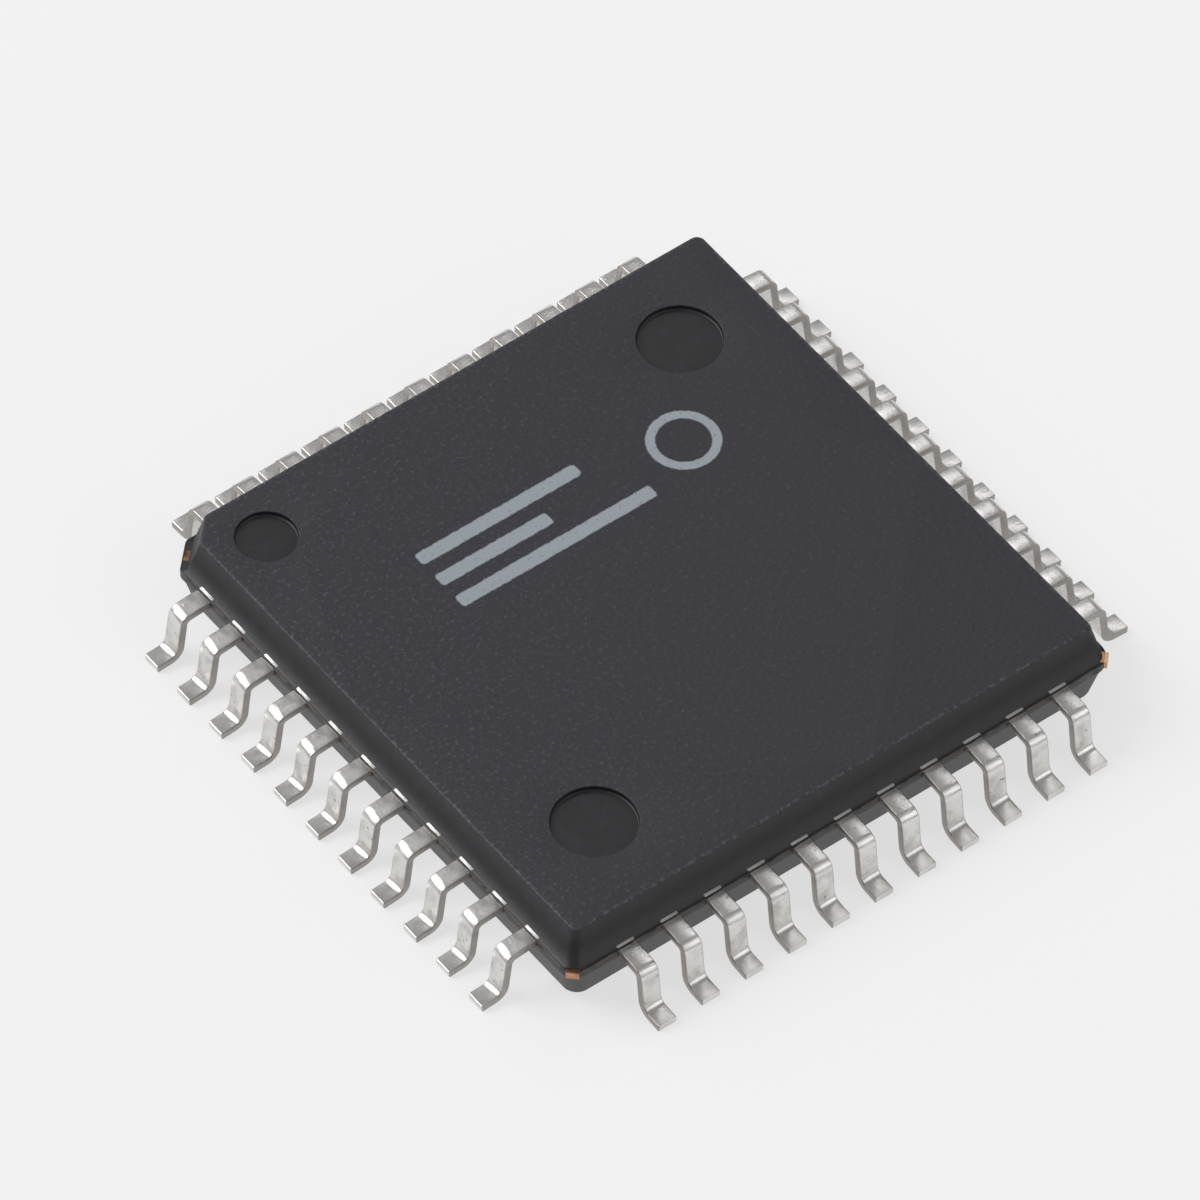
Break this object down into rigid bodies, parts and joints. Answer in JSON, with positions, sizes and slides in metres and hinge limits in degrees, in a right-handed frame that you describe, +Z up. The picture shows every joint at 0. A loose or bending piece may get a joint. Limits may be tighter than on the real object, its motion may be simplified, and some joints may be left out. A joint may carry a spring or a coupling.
{
  "type": "quad flat pack chip",
  "caption": "Square black moulded chip package with gull wing leads on all four sides and round recesses in its top; soldered flat onto a circuit board.",
  "frame": {"origin": "centre of the footprint, on the seating plane that the solder feet stand on", "axes": "+Z up out of the top face; pin 1 and its round recess are at the (-X, +Y) corner, and the pins count anticlockwise seen from above, so the -X side has pins 1 to 11 from +Y to -Y"},
  "size_m": [0.012, 0.012, 0.0016],
  "materials": {
    "mould_compound": "fine spark-eroded matte, charcoal black",
    "tin_plate": "satin matte tin plating, faintly scuffed",
    "lead_frame_copper": "bare rolled copper alloy",
    "die_attach_silver": "dull silver-filled epoxy",
    "silicon": "polished dark grey",
    "bond_gold": "bright drawn gold"
  },
  "bodies": {
    "root": {"mould_body": "mould_compound", "lead_01": "tin_plate", "lead_02": "tin_plate", "lead_03": "tin_plate", "lead_04": "tin_plate", "lead_05": "tin_plate", "lead_06": "tin_plate", "lead_07": "tin_plate", "lead_08": "tin_plate", "lead_09": "tin_plate", "lead_10": "tin_plate", "lead_11": "tin_plate", "lead_12": "tin_plate", "lead_13": "tin_plate", "lead_14": "tin_plate", "lead_15": "tin_plate", "lead_16": "tin_plate", "lead_17": "tin_plate", "lead_18": "tin_plate", "lead_19": "tin_plate", "lead_20": "tin_plate", "lead_21": "tin_plate", "lead_22": "tin_plate", "lead_23": "tin_plate", "lead_24": "tin_plate", "lead_25": "tin_plate", "lead_26": "tin_plate", "lead_27": "tin_plate", "lead_28": "tin_plate", "lead_29": "tin_plate", "lead_30": "tin_plate", "lead_31": "tin_plate", "lead_32": "tin_plate", "lead_33": "tin_plate", "lead_34": "tin_plate", "lead_35": "tin_plate", "lead_36": "tin_plate", "lead_37": "tin_plate", "lead_38": "tin_plate", "lead_39": "tin_plate", "lead_40": "tin_plate", "lead_41": "tin_plate", "lead_42": "tin_plate", "lead_43": "tin_plate", "lead_44": "tin_plate", "die_pad": "lead_frame_copper", "die_attach": "die_attach_silver", "die": "silicon", "bond_wires_left": "bond_gold", "bond_wires_front": "bond_gold", "bond_wires_right": "bond_gold", "bond_wires_back": "bond_gold"}
  },
  "joints": []
}
